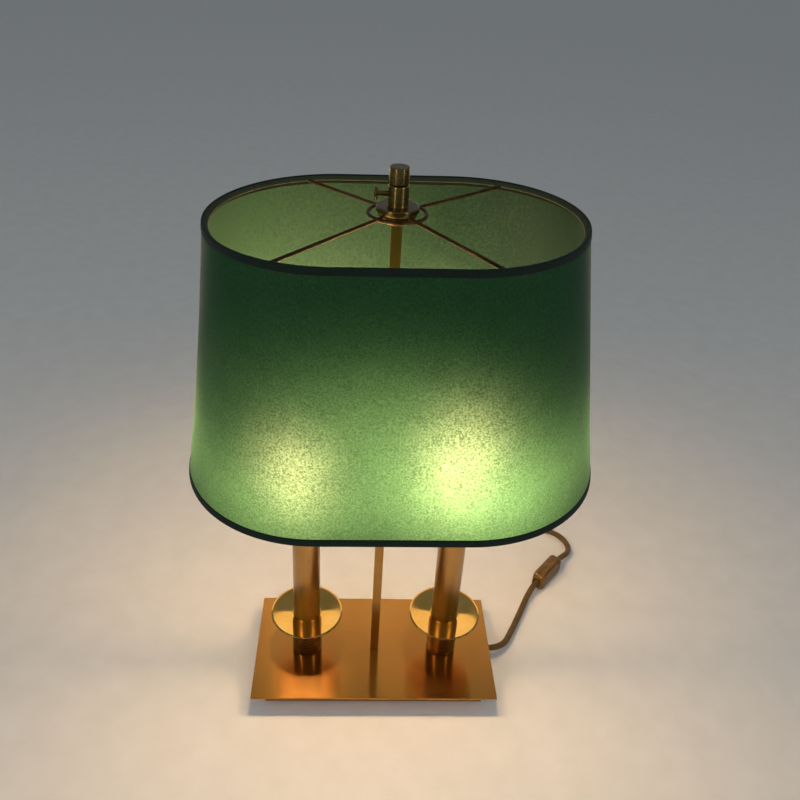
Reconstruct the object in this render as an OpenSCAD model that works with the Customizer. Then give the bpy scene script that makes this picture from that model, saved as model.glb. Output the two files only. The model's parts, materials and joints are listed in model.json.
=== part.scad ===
// Bouillotte table lamp: a brass base with two candle tubes, a square stem and a sliding oval shade.
// Millimetres, +Z up, origin on the table under the middle of the base.

/* [Base] */
// Length of the brass top plate, left to right
plate_l = 240; // [200:1:300]
// Width of the brass top plate, front to back
plate_w = 130; // [110:1:160]
// Thickness of the brass top plate
plate_t = 2; // [1.5:0.5:4]
// Height of the plate's top above the table
base_h = 22; // [21:1:32]
// How far the frame under the plate stands back from the plate's edge
frame_inset = 12.5; // [8:0.5:16]
// Wall of the frame under the plate
frame_wall = 1.5; // [1:0.5:3]
// Thickness of the steel weight that closes the base
weight_t = 6; // [3:0.5:6]
// Thickness of the felt under the weight
felt_t = 1.5; // [1:0.5:2]
// Side of the square lugs in the frame's corners
lug_side = 12; // [10:1:16]

/* [Candles] */
// Distance between the two candles
candle_span = 138; // [120:1:160]
// Outer diameter of the foot under each drip dish
foot_d = 29.5; // [24:0.5:34]
// Height of that foot
foot_h = 48; // [30:0.1:70]
// Wall of that foot
foot_wall = 1.5; // [1:0.5:3]
// Diameter of the drip dish
dish_d = 70.5; // [50:0.5:84]
// Thickness of the drip dish
dish_t = 1.2; // [0.8:0.1:3]
// Outer diameter of the candle tube
tube_d = 26; // [26:0.5:30]
// Height of the candle tube
tube_h = 200; // [150:1:205]
// Wall of the candle tube
tube_wall = 1; // [0.6:0.1:1.2]

/* [Bulbs] */
// Height of the lamp holder
holder_h = 34; // [30:1:45]
// How far the holder stands above its candle tube
holder_rise = 1.5; // [0.5:0.5:4]
// Largest diameter of the bulb
bulb_d = 35; // [25:1:45]
// Height of the bulb's glass
bulb_h = 74; // [60:1:90]

/* [Stem] */
// Side of the square stem
stem_w = 8; // [7:0.5:8.5]
// Height of the stem above the plate
stem_h = 486.6; // [460:0.2:520]
// Diameter of the knob on the stem
knob_d = 14.8; // [12:0.2:24]
// Height of the knob
knob_h = 12.4; // [11:0.2:30]

/* [Sliding collar] */
// Diameter of the collar that slides on the stem
collar_d = 15.4; // [15:0.2:20]
// Height of the collar above its flange
collar_h = 15.4; // [14:0.2:24]
// Diameter of the collar's flange
flange_d = 31.8; // [29:0.2:38]
// Thickness of the collar's flange
flange_t = 4.8; // [3:0.2:7]
// Air between the collar and the stem on each side
slide_gap = 0.2; // [0.1:0.05:0.3]
// Air between the collar and the knob when the shade is fully up
knob_gap = 0.6; // [0.4:0.1:2]
// Height of the ring nut under the shade's hub
ring_nut_h = 4.4; // [3:0.2:7]
// Diameter of the ring nut
ring_nut_d = 24; // [20:0.5:28]
// Diameter of the thumb screw's head
thumb_d = 10; // [8:0.5:14]
// Thickness of the thumb screw's head
thumb_t = 2.4; // [1.5:0.1:4]
// Reach of the thumb screw's shank out of the collar
thumb_reach = 7.5; // [4:0.5:12]

/* [Shade] */
// Length of the shade at its top
top_l = 282; // [250:1:300]
// Width of the shade at its top
top_w = 192; // [170:1:210]
// Length of the shade at its bottom
bottom_l = 348; // [320:1:380]
// Width of the shade at its bottom
bottom_w = 227; // [215:1:250]
// Height of the shade
shade_h = 220.3; // [190:0.1:250]
// Wall of the shade, paper on its stiff lining
shade_wall = 1; // [0.6:0.1:1.4]
// How far the shade's top edge lies below the middle of the hub
shade_drop = 2.2; // [0:0.1:8]
// How far the shade hangs down to its left, in degrees
shade_lean = 1.57; // [0:0.01:2.5]
// How far the shade hangs down to its front, in degrees
shade_nod = 0.43; // [0:0.01:1.5]
// How far the shade is turned about the stem, in degrees
shade_turn = -0.95; // [-3:0.05:3]
// Height of the dark binding round the top edge
top_binding_h = 5.2; // [4:0.1:10]
// Height of the dark binding round the bottom edge
bottom_binding_h = 6.2; // [4:0.1:10]
// Thickness of the binding
binding_t = 0.5; // [0.3:0.1:0.8]

/* [Shade wires] */
// Diameter of the spider's ring and arm wire
wire_d = 2.2; // [2:0.1:2.4]
// Diameter of the ring round the hub, to the middle of its wire
ring_d = 43; // [39:0.5:56]
// Diameter of the hub plate under the flange
hub_d = 28; // [24:0.5:30]
// Thickness of the hub plate
hub_t = 2.4; // [2:0.1:3]
// Diameter of the wire in the shade's top and bottom edge
edge_wire_d = 2.4; // [2:0.1:3]
// How far the edge wires lie inside the shade's edges
edge_wire_depth = 3.7; // [2.5:0.1:6]
// Angle of the arms from the long axis of the shade
arm_angle = 47.75; // [40:0.25:55]
// Turn of the whole spider about the stem
spider_turn = -4.75; // [-8:0.25:8]

/* [Cord] */
// Diameter of the mains cord
cord_d = 6.5; // [5.5:0.1:6.5]
// Length of the tapered strain relief outside the frame
relief_out = 10; // [8:1:25]
// Diameter of the coil to the middle of its turns
coil_d = 72; // [65:1:80]
// Turns of cord side by side in the coil
coil_rows = 3; // [2:1:3]
// Turns of cord on top of each other in the coil
coil_layers = 2; // [2:1:3]

/* [Cord switch] */
// Length of the switch on the cord
switch_l = 47; // [46:1:56]
// Height of the switch as it stands on its edge
switch_h = 23; // [22:0.5:28]
// Thickness of the switch
switch_t = 13.6; // [13.6:0.2:18]
// Corner radius of the switch
switch_r = 7; // [4:0.5:8]
// Tilt of the rocker away from level
rocker_tilt = 8; // [4:1:8]

/* [Plug] */
// Length of the plug's body
plug_l = 34; // [30:1:40]
// Width of the plug's body at the pins
plug_w = 35; // [28:1:38]
// Thickness of the plug's body
plug_t = 13.7; // [12:0.1:16]
// Distance between the plug's pins
pin_span = 18.6; // [17:0.1:20]
// Diameter of the plug's pins
pin_d = 4; // [3.5:0.1:5]
// Length of the plug's pins
pin_l = 19; // [15:1:20]

/* [Hidden] */
$fn = 64;

// Clearances
fit_gap = 0.05;       // round part in its hole
seat_gap = 0.3;       // loose part beside its neighbour
thread_gap = 0.2;     // hole round a rod or screw that only passes through
wrap_gap = 0.05;      // binding over the shade

// Base, from the table up
weight_z = felt_t;
cavity_z = weight_z + weight_t;
plate_z = base_h - plate_t;
frame_l = plate_l - 2 * frame_inset;
frame_w = plate_w - 2 * frame_inset;
inner_l = frame_l - 2 * frame_wall;
inner_w = frame_w - 2 * frame_wall;
lug_x = inner_l / 2 - lug_side / 2;
lug_y = inner_w / 2 - lug_side / 2;
base_screw_r = 2;
base_screw_head_r = 4;
base_screw_head_h = 2.2;
base_screw_reach = 6;

// Candles
rod_r = 5;
rod_bore_r = 3.75;
rod_tail = 4;         // how far each rod reaches below the plate
washer_r = 10;
washer_t = 1;
nut_flats = 14;
nut_h = 3;
foot_top_t = 3;       // wall that closes the foot under the dish
foot_z = base_h;
dish_z = foot_z + foot_h;
dish_rise = 1.4;      // how far the rim stands above the seat
dish_bow = 0.35;      // share by which the cup is steeper at its seat
dish_steps = 6;
tube_z = dish_z + dish_t;
tube_top = tube_z + tube_h;
holder_top = tube_top + holder_rise;
holder_z = holder_top - holder_h;
holder_r = tube_d / 2 - tube_wall - seat_gap;
holder_neck_r = 7.5;
holder_neck_h = 6;
rod_grip = 8;         // length of rod inside the holder
rod_top = holder_z + rod_grip;
holder_floor_t = 4;
socket_z = rod_top + holder_floor_t;
socket_r = 7.3;
cap_r = 6.9;
cap_tip_r = 3;
cap_tip_h = 3;
cap_flare_h = 3;
cap_z = socket_z + fit_gap;
cap_collar_r = 8.6;
glass_neck_r = 7.6;
glass_z = holder_top + seat_gap + cap_flare_h;
glass_wall = 0.8;
glass_steps = 20;
belly_at = 0.42;      // height of the widest place, as a share of the glass

// Stem and knob
stem_top = base_h + stem_h;
stem_screw_r = 2.5;
stem_screw_reach = 12;
stem_screw_flats = 8;
stem_screw_head_h = 3.4;
stem_washer_r = 6;
spigot_r = 3;
spigot_h = 8;
knob_bore_h = spigot_h + 1;
knob_chamfer = 0.6;

// Sliding collar, from its top down
collar_top = stem_top - knob_gap;
flange_top = collar_top - collar_h;
flange_z = flange_top - flange_t;
hub_z = flange_z - hub_t;
hub_mid = hub_z + hub_t / 2;
ring_nut_z = hub_z - ring_nut_h;
thread_r = 7.2;       // outside of the collar's thread under the flange
thread_tail = 2;      // thread left below the ring nut
thread_z = ring_nut_z - thread_tail;
flange_edge = 0.6;
thumb_r = 2;
thumb_z = flange_top + collar_h * 0.56;
thumb_tip_x = -stem_w / 2 - slide_gap;
thumb_head_x = -collar_d / 2 - thumb_reach;
thumb_edge = 0.4;

// Shade
shade_top = hub_mid - shade_drop;
shade_z = shade_top - shade_h;
top_r = top_w / 2;
top_half = (top_l - top_w) / 2;
bottom_r = bottom_w / 2;
bottom_half = (bottom_l - bottom_w) / 2;
arc_steps = 36;       // facets round each end of the shade
lining = shade_wall + binding_t + 2 * wrap_gap + thread_gap;
top_wire_z = shade_top - edge_wire_depth;
bottom_wire_z = shade_z + edge_wire_depth;

// Cord: what it passes through, and where it lies
cord_r = cord_d / 2;
relief_y = 6;
relief_z = cavity_z + 5;
relief_in = 9;        // length of the strain relief inside the frame
relief_r = 4.3;
relief_tip_r = 3.9;
relief_flange_r = 4.9;
relief_flange_t = 1.5;
relief_x = frame_l / 2 + relief_out;
cord_sides = 10;
switch_at = [206.5, 120.5];
switch_turn = 49;
switch_mid = switch_h / 2;
cord_grip = 5;        // length of cord inside the switch and the plug
straight = 3.5;       // straight cord past the strain relief
lead_in = 6;          // straight cord at each end of the switch
coil_at = [100, 240];
coil_w = coil_rows * cord_d;
coil_h = coil_layers * cord_d;
coil_corner = 2;
tie_t = 0.8;
tie_w = 8;
tie_turn = 230;
tie_gap = 0.4;
plug_at = [62, 282];
plug_z = plug_t / 2;

// Route of the cord between the strain relief and the switch
lead_points = [
    [128, 7.1, 12.1], [135, 10.5, 11.1], [141, 16, 9.9], [146.2, 24.4, 8.7], [151.3, 34, 7.7],
    [156.4, 43.6, 7.1], [161.5, 53.5, 6.9], [166.5, 63.2, 7], [171.3, 72.6, 7.4], [176, 81.6, 8.4],
    [181.4, 90.2, 9.9]
];
// Route of the cord between the switch and the coil
run_points = [
    [233, 150, 9.9], [239.8, 157.8, 7.8], [243.6, 168, 5.8], [243.5, 179, 4.5], [239.4, 189.3, 4.1],
    [231.5, 197.5, 4.1], [221, 203.4, 4.1], [208, 209.6, 4.1], [194, 218, 4.1], [180, 228, 4.1],
    [166, 239.2, 4.1], [153, 250.2, 4.1], [142, 259.9, 4.1], [135.4, 265.6, 4.1]
];
// Route of the cord between the coil and the plug
end_points = [[104, 282.3, 10.6], [92, 282.4, 10.3], [80, 282.2, 8.8], [70, 282, 7.3]];

// Terminal block and cord clamp inside the base
block_l = 22;
block_w = 26;
block_h = 9.5;
block_at = [35, 4];
block_screw_r = 1.8;
block_screw_h = 3;
clamp_l = 10;
clamp_w = 26;
clamp_h = 10;
clamp_x = 88;
clamp_screw_at = 9;
clamp_screw_r = 1.5;
clamp_head_r = 2.8;
clamp_head_h = 1.8;
clamp_screw_reach = 4;
wire_r = 1.6;
wire_bend = 3.6;
wire_z = plate_z - rod_tail - wire_bend;

// Cord switch
shell_wall = 1.8;
shell_chamfer = 2;
port_r = 5;
port_depth = 2.5;
shell_half = switch_t / 2;
pivot_y = -3.2;
rocker_r = 7.7;
rocker_w = 8.6;
rocker_crown = 4.6;
rocker_slope = 8;
rocker_back = 1.8;
trunnion_r = 1.2;
trunnion_l = 12.6;
window_l = 16;
window_w = 9.4;
bearing_t = 1.6;
bearing_l = 5;
boss_x = 15.5;
boss_z = 7.2;
boss_r = 3;
switch_screw_r = 1.3;
switch_screw_head_r = 2.4;
switch_screw_head_h = 1.6;

// Plug
plug_tail_r = 5;
plug_corner = 4;
plug_shoulder = 12;
pin_root = 6;

// Colours
brass = "#a8742f";
polished_brass = "#e0ac58";
aged_brass = "#7c6230";
wire_brass = "#6a4a22";
steel = "#8c8f92";
iron = "#4a4c4e";
green_paper = "#1f5c30";
dark_tape = "#14201c";
gold_plastic = "#7d5a2c";
black_plastic = "#26241f";
cream_plastic = "#d8cfb4";
opal = "#f6ead0";
felt_green = "#2c3a2c";

// ---- shared shapes ----

module bored(r, h, bore) {
    difference() {
        cylinder(r = r, h = h);
        translate([0, 0, -1]) cylinder(r = bore, h = h + 2);
    }
}

module hex_nut(flats, h, bore) {
    difference() {
        cylinder(r = flats / 2 / cos(30), h = h, $fn = 6);
        translate([0, 0, -1]) cylinder(r = bore, h = h + 2);
    }
}

module rounded_rect(l, w, r) {
    square([l - 2 * r, w], center = true);
    square([l, w - 2 * r], center = true);
    for (x = [-1, 1], y = [-1, 1]) translate([x * (l / 2 - r), y * (w / 2 - r)]) circle(r);
}

// A straight round wire from one point to another
module wire_between(a, b, r) {
    d = b - a;
    translate(a) rotate([0, acos(d[2] / norm(d)), atan2(d[1], d[0])]) cylinder(r = r, h = norm(d));
}

// ---- the oval of the shade: half-circles of radius r whose centres lie at x = half and x = -half ----

function blend(a, b, t) = a + (b - a) * t;
function shade_share(z) = (z - shade_z) / shade_h;
function oval_half(z) = blend(bottom_half, top_half, shade_share(z));
function oval_r(z) = blend(bottom_r, top_r, shade_share(z));

function oval_ring(half, r, z) = [
    for (side = [1, -1], i = [0 : arc_steps])
        let (a = -90 + 180 * i / arc_steps) [side * (half + r * cos(a)), side * r * sin(a), z]
];

// A point of the level shade, set askew about the middle of the hub as the shade hangs
function askew(p) =
    let (
        d = p - [0, 0, hub_mid],
        leant = [
            d[0] * cos(shade_lean) - d[2] * sin(shade_lean), d[1],
            d[2] * cos(shade_lean) + d[0] * sin(shade_lean)
        ],
        y = leant[1] * cos(shade_nod) - leant[2] * sin(shade_nod),
        z = leant[1] * sin(shade_nod) + leant[2] * cos(shade_nod)
    )
    [
        leant[0] * cos(shade_turn) - y * sin(shade_turn),
        leant[0] * sin(shade_turn) + y * cos(shade_turn), z + hub_mid
    ];

module set_askew() {
    translate([0, 0, hub_mid]) rotate([0, 0, shade_turn]) rotate([shade_nod, 0, 0])
        rotate([0, -shade_lean, 0]) translate([0, 0, -hub_mid]) children();
}

// A closed band round the oval; each section is [how far outside the shade's face, height]
module oval_band(sections) {
    rings = [for (s = sections) oval_ring(oval_half(s[1]), oval_r(s[1]) + s[0], s[1])];
    count = len(sections);
    n = len(rings[0]);
    points = [for (ring = rings, p = ring) askew(p)];
    faces = [
        for (k = [0 : count - 1], i = [0 : n - 1])
            let (next = (k + 1) % count, j = (i + 1) % n)
                [k * n + i, next * n + i, next * n + j, k * n + j]
    ];
    polyhedron(points, faces);
}

// A wire bent into the oval, with its bends' radius and centres to a hundredth so that its ends meet
module oval_wire(half, r, wire_r) {
    centre = round(100 * half) / 100;
    bend_r = round(100 * r) / 100;
    for (side = [0, 180]) rotate([0, 0, side]) {
        translate([centre, 0, 0]) rotate([0, 0, -90])
            rotate_extrude(angle = 180) translate([bend_r, 0]) circle(wire_r, $fn = 24);
        translate([-centre, bend_r, 0]) rotate([0, 90, 0]) cylinder(r = wire_r, h = 2 * centre, $fn = 24);
    }
}

// Distance from the stem to the oval along a direction
function oval_reach(half, r, a) =
    let (turned = half * abs(cos(a)) + sqrt(r * r - pow(half * sin(a), 2)), flat = r / abs(sin(a)))
        turned * abs(cos(a)) > half ? turned : flat;

// ---- base ----

module base_plate() {
    color(brass) difference() {
        translate([-plate_l / 2, -plate_w / 2, plate_z]) cube([plate_l, plate_w, plate_t]);
        translate([0, 0, plate_z - 1]) {
            cylinder(r = stem_screw_r + thread_gap, h = plate_t + 2);
            for (side = [-1, 1]) translate([side * candle_span / 2, 0, 0])
                cylinder(r = rod_r + thread_gap, h = plate_t + 2);
        }
    }
}

module at_lugs() {
    for (x = [-1, 1], y = [-1, 1]) translate([x * lug_x, y * lug_y, 0]) children();
}

module base_frame() {
    h = plate_z - weight_z;
    color(brass) difference() {
        union() {
            difference() {
                translate([-frame_l / 2, -frame_w / 2, weight_z]) cube([frame_l, frame_w, h]);
                translate([-inner_l / 2, -inner_w / 2, weight_z - 1]) cube([inner_l, inner_w, h + 2]);
            }
            at_lugs() translate([-lug_side / 2, -lug_side / 2, cavity_z])
                cube([lug_side, lug_side, plate_z - cavity_z]);
        }
        at_lugs() translate([0, 0, cavity_z - 1])
            cylinder(r = base_screw_r + fit_gap, h = base_screw_reach + 2);
        translate([inner_l / 2 - 1, relief_y, relief_z]) rotate([0, 90, 0])
            cylinder(r = relief_r + fit_gap, h = frame_wall + 2);
    }
}

module weight_plate() {
    l = inner_l - 2 * seat_gap;
    w = inner_w - 2 * seat_gap;
    color(iron) difference() {
        translate([-l / 2, -w / 2, weight_z]) cube([l, w, weight_t]);
        at_lugs() {
            translate([0, 0, weight_z - 1]) cylinder(r = base_screw_r + thread_gap, h = weight_t + 2);
            translate([0, 0, weight_z]) cylinder(
                r1 = base_screw_head_r + fit_gap, r2 = base_screw_r + fit_gap, h = base_screw_head_h
            );
        }
        at_clamp_screws() translate([0, 0, -clamp_screw_reach])
            cylinder(r = clamp_screw_r + fit_gap, h = clamp_screw_reach + 1);
    }
}

module base_screws() {
    color(steel) at_lugs() translate([0, 0, weight_z]) {
        cylinder(r1 = base_screw_head_r, r2 = base_screw_r, h = base_screw_head_h);
        cylinder(r = base_screw_r, h = weight_t + base_screw_reach);
    }
}

module felt_pad() {
    color(felt_green) translate([-inner_l / 2, -inner_w / 2, 0]) cube([inner_l, inner_w, felt_t]);
}

// ---- stem ----

module stem_bar() {
    color(brass) difference() {
        union() {
            translate([-stem_w / 2, -stem_w / 2, base_h]) cube([stem_w, stem_w, stem_h]);
            translate([0, 0, stem_top]) cylinder(r = spigot_r, h = spigot_h);
        }
        translate([0, 0, base_h - 1]) cylinder(r = stem_screw_r + fit_gap, h = stem_screw_reach + 2);
    }
}

module stem_washer() {
    color(steel) translate([0, 0, plate_z - washer_t])
        bored(stem_washer_r, washer_t, stem_screw_r + thread_gap);
}

module stem_screw() {
    head_top = plate_z - washer_t;
    color(steel) {
        translate([0, 0, head_top - stem_screw_head_h])
            cylinder(r = stem_screw_flats / 2 / cos(30), h = stem_screw_head_h, $fn = 6);
        translate([0, 0, head_top - 1])
            cylinder(r = stem_screw_r, h = 1 + washer_t + plate_t + stem_screw_reach);
    }
}

module knob() {
    r = knob_d / 2;
    color(aged_brass) translate([0, 0, stem_top]) difference() {
        rotate_extrude() polygon([
            [0, 0], [r - knob_chamfer, 0], [r, knob_chamfer],
            [r, knob_h - knob_chamfer], [r - knob_chamfer, knob_h], [0, knob_h]
        ]);
        translate([0, 0, -1]) cylinder(r = spigot_r + fit_gap, h = knob_bore_h + 1);
    }
}

// ---- candles, one on each side ----

module on_candle(side) {
    translate([side * candle_span / 2, 0, 0]) children();
}

module foot(side) {
    r = foot_d / 2;
    color(brass) on_candle(side) translate([0, 0, foot_z]) difference() {
        cylinder(r = r, h = foot_h);
        translate([0, 0, -1]) cylinder(r = r - foot_wall, h = foot_h - foot_top_t + 1);
        cylinder(r = rod_r + thread_gap, h = foot_h + 1);
    }
}

// How far the dish's face stands above its seat at a radius
function dish_lift(r) =
    let (t = (r - foot_d / 2) / (dish_d - foot_d) * 2)
        dish_rise * t * (1 + dish_bow * (1 - t));

// Flat where it is clamped, and a shallow cup from there to its rim
module dish(side) {
    bore = rod_r + thread_gap;
    radii = [for (k = [0 : dish_steps]) blend(foot_d / 2, dish_d / 2, k / dish_steps)];
    top = [for (r = radii) [r, dish_t + dish_lift(r)]];
    under = [for (k = [dish_steps : -1 : 0]) [radii[k], dish_lift(radii[k])]];
    color(polished_brass) on_candle(side) translate([0, 0, dish_z])
        rotate_extrude() polygon(concat([[bore, dish_t]], top, under, [[bore, 0]]));
}

module candle_tube(side) {
    color(brass) on_candle(side) translate([0, 0, tube_z])
        bored(tube_d / 2, tube_h, tube_d / 2 - tube_wall);
}

module rod(side) {
    z = plate_z - rod_tail;
    color(steel) on_candle(side) translate([0, 0, z]) bored(rod_r, rod_top - z, rod_bore_r);
}

module rod_washers() {
    color(steel) for (side = [-1, 1]) on_candle(side)
        translate([0, 0, plate_z - washer_t]) bored(washer_r, washer_t, rod_r + thread_gap);
}

module rod_nuts() {
    color(steel) for (side = [-1, 1], z = [plate_z - washer_t - nut_h, tube_z]) on_candle(side)
        translate([0, 0, z]) hex_nut(nut_flats, nut_h, rod_r + fit_gap);
}

module holder(side) {
    color(black_plastic) on_candle(side) difference() {
        translate([0, 0, holder_z]) rotate_extrude() polygon([
            [0, 0], [holder_neck_r, 0], [holder_neck_r, holder_neck_h], [holder_r, holder_neck_h + 4],
            [holder_r, holder_h - 1], [holder_r - 1, holder_h], [0, holder_h]
        ]);
        translate([0, 0, holder_z - 1]) cylinder(r = rod_r + fit_gap, h = rod_grip + 1);
        translate([0, 0, rod_top - 1]) cylinder(r = rod_bore_r, h = holder_floor_t + 2);
        translate([0, 0, socket_z]) cylinder(r = socket_r, h = holder_top - socket_z + 1);
    }
}

module bulb_cap(side) {
    shell_z = cap_z + cap_tip_h;
    flare_z = glass_z - cap_flare_h;
    color(steel) on_candle(side) {
        translate([0, 0, cap_z]) cylinder(r1 = cap_tip_r, r2 = cap_r, h = cap_tip_h);
        translate([0, 0, shell_z]) cylinder(r = cap_r, h = flare_z - shell_z);
        translate([0, 0, flare_z]) cylinder(r1 = cap_r, r2 = cap_collar_r, h = cap_flare_h);
    }
}

// Radius of the candle-shaped glass at a share of its height
function glass_r(t) = t < belly_at
    ? blend(glass_neck_r, bulb_d / 2, (1 - cos(180 * t / belly_at)) / 2)
    : bulb_d / 2 * pow(cos(90 * (t - belly_at) / (1 - belly_at)), 0.85);

// The glass's form, or the air in it where inset is the wall
module glass_form(inset) {
    top = bulb_h - 2 * inset;
    side = [
        for (i = [0 : glass_steps - 1])
            let (t = i / glass_steps) [glass_r(t) - inset, blend(inset, top, t)]
    ];
    rotate_extrude() polygon(concat([[0, inset]], side, [[0, top]]));
}

module bulb_glass(side) {
    color(opal) on_candle(side) translate([0, 0, glass_z]) difference() {
        glass_form(0);
        glass_form(glass_wall);
    }
}

// Lead from the terminal block up to a holder, through the rod
module wire(side) {
    elbow_z = plate_z - rod_tail;
    start_x = side * candle_span / 2;
    end_x = block_at[0] + side * block_l / 2;
    run = abs(start_x - end_x) - wire_bend;
    color(cream_plastic) translate([start_x, 0, 0]) {
        translate([0, 0, elbow_z])
            cylinder(r = wire_r, h = socket_z - holder_floor_t / 2 - elbow_z, $fn = 32);
        rotate([0, 0, side > 0 ? 180 : 0]) {
            translate([wire_bend, 0, elbow_z]) rotate([90, 0, 0]) rotate([0, 0, 180])
                rotate_extrude(angle = 90) translate([wire_bend, 0]) circle(wire_r, $fn = 32);
            translate([wire_bend, 0, wire_z]) rotate([0, 90, 0]) cylinder(r = wire_r, h = run, $fn = 32);
        }
    }
}

// ---- wiring inside the base ----

module on_block() {
    translate([block_at[0], block_at[1], cavity_z]) children();
}

module in_block_screws(gap, h) {
    for (x = [-1, 1], y = [-1, 1])
        translate([x * block_l / 4, y * block_w / 4, block_h - block_screw_h])
            cylinder(r = block_screw_r + gap, h = h);
}

module terminal_block() {
    color(cream_plastic) on_block() difference() {
        translate([-block_l / 2, -block_w / 2, 0]) cube([block_l, block_w, block_h]);
        in_block_screws(fit_gap, block_screw_h + 1);
    }
}

module terminal_screws() {
    color(steel) on_block() in_block_screws(0, block_screw_h);
}

module at_clamp_screws() {
    for (side = [-1, 1]) translate([clamp_x, relief_y + side * clamp_screw_at, cavity_z]) children();
}

module cord_clamp() {
    color(cream_plastic) difference() {
        translate([clamp_x - clamp_l / 2, relief_y - clamp_w / 2, cavity_z])
            cube([clamp_l, clamp_w, clamp_h]);
        translate([clamp_x - clamp_l, relief_y, relief_z]) rotate([0, 90, 0])
            cylinder(r = cord_r + fit_gap, h = 2 * clamp_l);
        at_clamp_screws() translate([0, 0, -1]) cylinder(r = clamp_screw_r + fit_gap, h = clamp_h + 2);
    }
}

module clamp_screws() {
    color(steel) at_clamp_screws() {
        translate([0, 0, -clamp_screw_reach]) cylinder(r = clamp_screw_r, h = clamp_screw_reach + clamp_h);
        translate([0, 0, clamp_h]) cylinder(r = clamp_head_r, h = clamp_head_h);
    }
}

module strain_relief() {
    wall_out = frame_l / 2;
    wall_in = inner_l / 2;
    color(gold_plastic) translate([0, relief_y, relief_z]) rotate([0, 90, 0]) difference() {
        rotate_extrude() polygon([
            [0, wall_in - relief_in], [relief_r, wall_in - relief_in],
            [relief_r, wall_in - relief_flange_t], [relief_flange_r, wall_in - relief_flange_t],
            [relief_flange_r, wall_in], [relief_r, wall_in], [relief_r, wall_out],
            [relief_flange_r, wall_out], [relief_flange_r, wall_out + relief_flange_t],
            [relief_tip_r, relief_x], [0, relief_x]
        ]);
        translate([0, 0, wall_in - relief_in - 1]) cylinder(r = cord_r + fit_gap, h = relief_x);
    }
}

module mains_tail() {
    start_x = block_at[0] + block_l / 2;
    color(gold_plastic) translate([start_x, relief_y, relief_z]) rotate([0, 90, 0])
        cylinder(r = cord_r, h = relief_x - start_x);
}

// ---- cord ----

function unit(v) = v / norm(v);

// Rings of points round a route, square to it
function tube_rings(route, r) = [
    for (i = [0 : len(route) - 1])
        let (
            along = unit(route[min(i + 1, len(route) - 1)] - route[max(i - 1, 0)]),
            side = unit(cross(along, [0, 0, 1])),
            up = cross(side, along)
        )
        [
            for (k = [0 : cord_sides - 1])
                let (a = 360 * k / cord_sides) route[i] + r * (cos(a) * side + sin(a) * up)
        ]
];

module tube_along(route) {
    rings = tube_rings(route, cord_r);
    points = [for (ring = rings, p = ring) p];
    last = len(route) - 1;
    faces = concat(
        [[for (k = [0 : cord_sides - 1]) k]],
        [
            for (i = [0 : last - 1], k = [0 : cord_sides - 1])
                let (j = (k + 1) % cord_sides, a = i * cord_sides, b = a + cord_sides)
                    [a + k, b + k, b + j, a + j]
        ],
        [[for (k = [cord_sides - 1 : -1 : 0]) last * cord_sides + k]]
    );
    color(gold_plastic) polyhedron(points, faces);
}

// A point on the switch's axis, measured along it from its middle
function switch_axis(x) = [
    switch_at[0] + x * cos(switch_turn), switch_at[1] + x * sin(switch_turn), switch_mid
];

module cord_lead() {
    port = switch_l / 2;
    tube_along(concat(
        [[relief_x, relief_y, relief_z], [relief_x + straight, relief_y, relief_z]],
        lead_points,
        [switch_axis(-port - lead_in), switch_axis(cord_grip - port)]
    ));
}

module cord_run() {
    port = switch_l / 2;
    tube_along(concat([switch_axis(port - cord_grip), switch_axis(port + lead_in)], run_points));
}

module cord_end() {
    tube_along(concat(
        end_points,
        [[plug_at[0] + 3, plug_at[1], plug_z], [plug_at[0] - cord_grip, plug_at[1], plug_z]]
    ));
}

module coil_section(side_gap, wall) {
    rounded_rect(coil_w + 2 * (side_gap + wall), coil_h + 2 * wall, coil_corner + wall);
}

module cord_coil() {
    color(gold_plastic) translate([coil_at[0], coil_at[1], tie_t + coil_h / 2])
        rotate_extrude() translate([coil_d / 2, 0]) coil_section(0, 0);
}

module cord_tie() {
    color(black_plastic) translate([coil_at[0], coil_at[1], tie_t + coil_h / 2]) rotate([0, 0, tie_turn])
        translate([coil_d / 2, tie_w / 2, 0]) rotate([90, 0, 0]) linear_extrude(tie_w) difference() {
            coil_section(tie_gap, tie_t);
            coil_section(tie_gap, 0);
        }
}

// ---- cord switch, modelled along X about its middle and then stood on its edge ----

// The rocker looks to the back, so the screwed half faces the front
module at_switch() {
    translate([switch_at[0], switch_at[1], switch_mid]) rotate([0, 0, switch_turn + 180]) children();
}

// The case's outline, drawn in by an amount
module case_outline(inset) {
    rounded_rect(switch_l - 2 * inset, switch_h - 2 * inset, switch_r - inset, $fn = 32);
}

// One half of the case, from its seam at y = 0 out to y = shell_half
module shell_form() {
    hull() {
        rotate([-90, 0, 0]) linear_extrude(shell_half - shell_chamfer) case_outline(0);
        rotate([-90, 0, 0]) linear_extrude(shell_half) case_outline(shell_chamfer);
    }
}

module shell_cavity() {
    rotate([-90, 0, 0]) translate([0, 0, -1]) linear_extrude(shell_half - shell_wall + 1)
        case_outline(shell_wall);
}

module cord_ports() {
    hole_r = cord_r + thread_gap;
    for (side = [0, 180]) rotate([0, 0, side]) rotate([0, 90, 0]) {
        cylinder(r = hole_r, h = switch_l);
        translate([0, 0, switch_l / 2 - port_depth]) cylinder(r1 = hole_r, r2 = port_r, h = port_depth);
    }
}

module at_bosses() {
    for (x = [-1, 1]) translate([x * boss_x, 0, boss_z]) rotate([-90, 0, 0]) children();
}

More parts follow.
